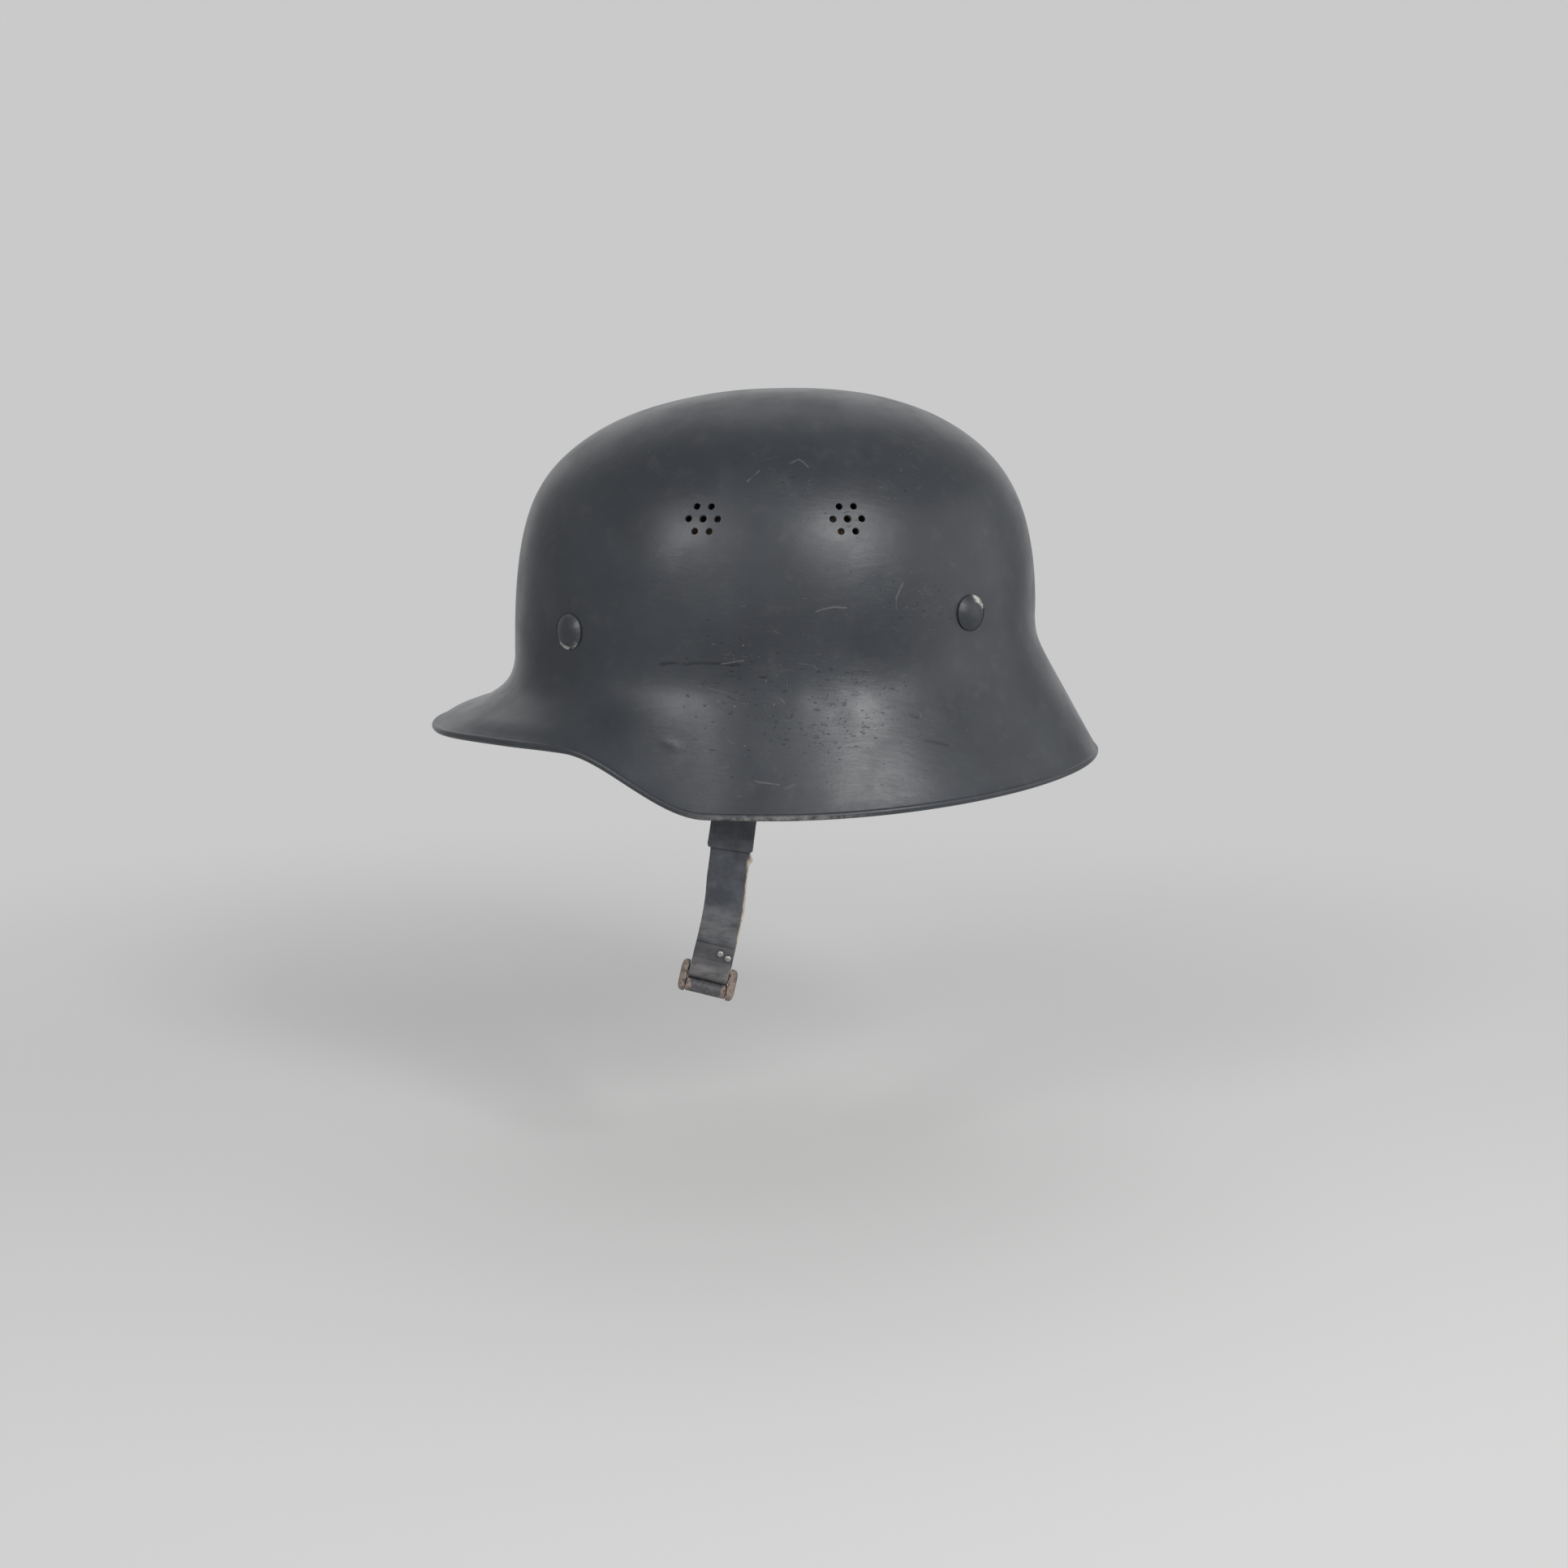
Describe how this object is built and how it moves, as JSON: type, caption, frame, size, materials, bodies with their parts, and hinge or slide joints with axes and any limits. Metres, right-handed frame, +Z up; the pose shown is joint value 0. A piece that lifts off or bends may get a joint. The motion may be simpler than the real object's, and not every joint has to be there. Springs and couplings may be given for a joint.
{
  "type": "police helmet",
  "caption": "Flared steel police helmet with visor, neck guard, punched side vents, riveted leather liner and a two-part buckled chin strap.",
  "frame": {"origin": "middle of the head opening, level with the lowest point of the rim", "axes": "+Z up, -Y forward over the visor, +Y towards the neck guard, +X towards the wearer's left"},
  "size_m": [0.2298, 0.284, 0.2651],
  "materials": {
    "painted_steel": "satin, worn",
    "zinc": "dull zinc-plated sheet",
    "spring_steel": "blued spring steel",
    "bare_steel": "worn bare steel",
    "rusted_steel": "rusted steel with traces of paint",
    "strap_leather": "worn black leather",
    "liner_leather": "worn brown leather",
    "felt": "grey felt",
    "cord": "waxed cotton cord"
  },
  "bodies": {
    "helmet": {"shell": "painted_steel", "rivet_front_left": "painted_steel", "rivet_front_right": "painted_steel", "rivet_rear_left": "painted_steel", "rivet_rear_right": "painted_steel", "rivet_spacers": "zinc", "outer_band": "zinc", "band_springs": "spring_steel", "inner_band": "zinc", "felt_ring": "felt", "leather_liner": "liner_leather", "leather_rivets": "bare_steel", "drawstring": "cord", "bracket_left": "zinc", "bracket_right": "zinc", "bracket_rivets": "bare_steel"},
    "left_bale": {"bale_left": "bare_steel"},
    "left_strap": {"tab_left": "strap_leather", "tab_rivets_left": "bare_steel", "strap_left": "strap_leather", "strap_rivets": "bare_steel"},
    "buckle": {"buckle_frame": "rusted_steel"},
    "roller": {"buckle_roller": "painted_steel"},
    "prong": {"buckle_prong": "rusted_steel"},
    "right_bale": {"bale_right": "bare_steel"},
    "right_strap": {"tab_right": "strap_leather", "tab_rivets_right": "bare_steel", "strap_right": "strap_leather"}
  },
  "joints": [
    {"name": "bale_left_swing", "type": "hinge", "parent": "helmet", "child": "left_bale", "pos_m": [0.08797, -0.0107, 0.04654], "axis": [-0.096, -0.9942, -0.0486], "range_deg": [-25, 10]},
    {"name": "strap_left_swing", "type": "hinge", "parent": "left_bale", "child": "left_strap", "pos_m": [0.08797, -0.01026, 0.03755], "axis": [-0.096, -0.9942, -0.0486], "range_deg": [-15, 15]},
    {"name": "buckle_tilt", "type": "hinge", "parent": "left_strap", "child": "buckle", "pos_m": [0.08826, -0.02562, -0.06626], "axis": [-0.0925, -0.9711, 0.2201], "range_deg": [-20, 30]},
    {"name": "roller_spin", "type": "hinge", "parent": "buckle", "child": "roller", "pos_m": [0.08809, -0.02704, -0.07261], "axis": [0.0925, 0.9711, -0.2201], "continuous": true},
    {"name": "prong_lift", "type": "hinge", "parent": "buckle", "child": "prong", "pos_m": [0.08826, -0.02562, -0.06626], "axis": [0.0925, 0.9711, -0.2201], "range_deg": [0, 80]},
    {"name": "bale_right_swing", "type": "hinge", "parent": "helmet", "child": "right_bale", "pos_m": [-0.08797, -0.0107, 0.04654], "axis": [-0.096, 0.9942, 0.0486], "range_deg": [-25, 10]},
    {"name": "strap_right_swing", "type": "hinge", "parent": "right_bale", "child": "right_strap", "pos_m": [-0.08797, -0.01026, 0.03755], "axis": [-0.096, 0.9942, 0.0486], "range_deg": [-15, 15]}
  ]
}
